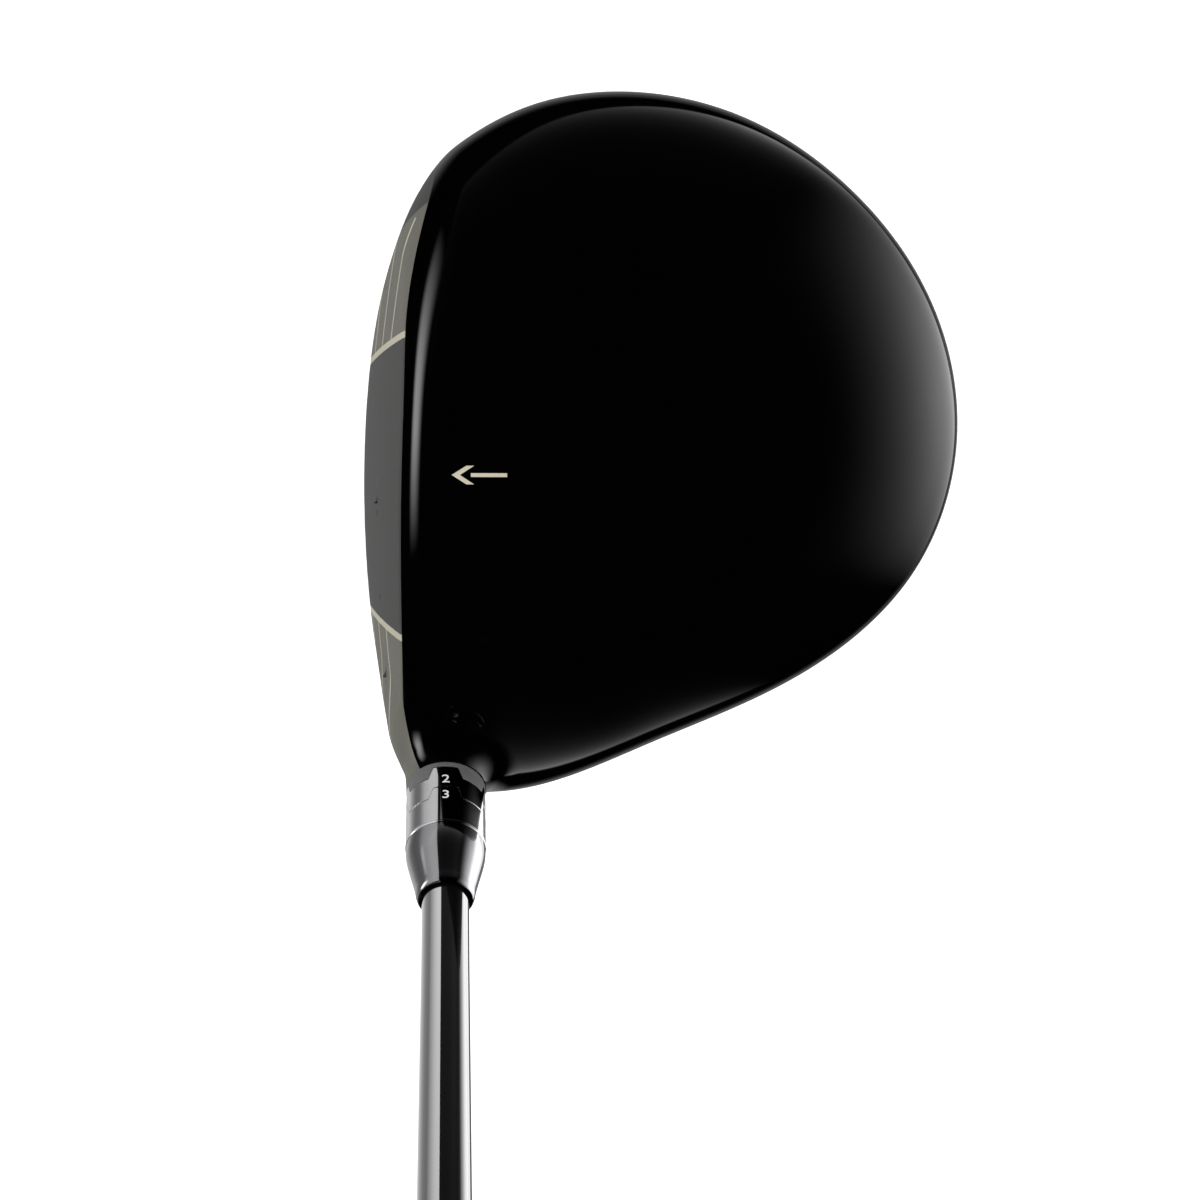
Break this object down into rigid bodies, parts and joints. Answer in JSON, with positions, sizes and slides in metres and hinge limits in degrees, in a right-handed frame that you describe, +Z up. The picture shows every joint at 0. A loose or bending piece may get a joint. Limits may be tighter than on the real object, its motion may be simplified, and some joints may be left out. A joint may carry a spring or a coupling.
{
  "type": "golf driver",
  "caption": "Right-handed golf driver held at address: hollow pear-shaped head with a separate crown and face, adjustable toothed hosel sleeve, ferrule, tapered shaft and rubber grip.",
  "frame": {"origin": "middle of the flat land on the sole, where the head meets the ground at address, 42 mm behind the leading edge and on the face centre line", "axes": "+X from toe to heel, towards the player; -Y out of the face, towards the target; +Z up. The shaft axis leans from the ground at (0.028, -0.025, 0) towards +X at the 58.5 degree lie angle"},
  "size_m": [0.7164, 0.1162, 0.9915],
  "materials": {
    "body_paint": "high gloss black",
    "face_metal": "dark satin with fine texture",
    "crown_paint": "high gloss black",
    "bond": "cured adhesive",
    "glue": "tacky",
    "steel": "satin",
    "weight_metal": "satin",
    "screw_steel": "satin",
    "retainer_plastic": "natural",
    "polished_aluminium": "polished",
    "seal": "matt",
    "trim": "polished",
    "ferrule_gloss": "glossy gunmetal",
    "plug_foam": "matt",
    "shaft_gloss": "high gloss black over carbon fibre",
    "tape": "matt",
    "grip_rubber": "matt, textured",
    "cap_rubber": "matt"
  },
  "bodies": {
    "head": {"body_shell": "body_paint", "face_plate": "face_metal", "crown_shell": "crown_paint", "crown_bond": "bond", "damping_glue": "glue", "weight_thread_insert": "steel", "hosel_washer": "steel"},
    "hosel_screw": {"hosel_screw": "screw_steel", "screw_retainer": "retainer_plastic"},
    "ring": {"adapter_ring": "polished_aluminium"},
    "shaft_assembly": {"adapter_sleeve": "polished_aluminium", "ring_keeper": "seal", "ferrule_trim_ring": "trim", "ferrule": "ferrule_gloss", "shaft_tip_plug": "plug_foam", "shaft": "shaft_gloss", "grip_tape": "tape", "grip": "grip_rubber", "grip_end_cap": "cap_rubber"},
    "weight": {"rear_weight": "weight_metal"},
    "weight_screw": {"rear_weight_screw": "screw_steel"}
  },
  "joints": [
    {"name": "hosel_screw_turn", "type": "hinge", "parent": "head", "child": "hosel_screw", "pos_m": [0.03824, -0.025, 0.01671], "axis": [-0.5225, 0, -0.8526], "range_deg": [0, 2520]},
    {"name": "shaft_lift", "type": "slide", "parent": "head", "child": "ring", "axis": [0.5225, 0, 0.8526], "range_m": [0, 0.042]},
    {"name": "sleeve_turn", "type": "hinge", "parent": "ring", "child": "shaft_assembly", "pos_m": [0.05935, -0.025, 0.05116], "axis": [0.5225, 0, 0.8526], "range_deg": [0, 270]},
    {"name": "weight_screw_turn", "type": "hinge", "parent": "weight", "child": "weight_screw", "pos_m": [-0.009, 0.057, 0.0094], "axis": [0, 0.454, -0.891], "range_deg": [0, 1801]},
    {"name": "weight_back_out", "type": "slide", "parent": "head", "child": "weight", "axis": [0, 0.454, -0.891], "range_m": [0, 0.004]}
  ],
  "couplings": [
    {"joint": "weight_screw_turn", "follows": "weight_back_out", "rad_per_m": 7854}
  ]
}
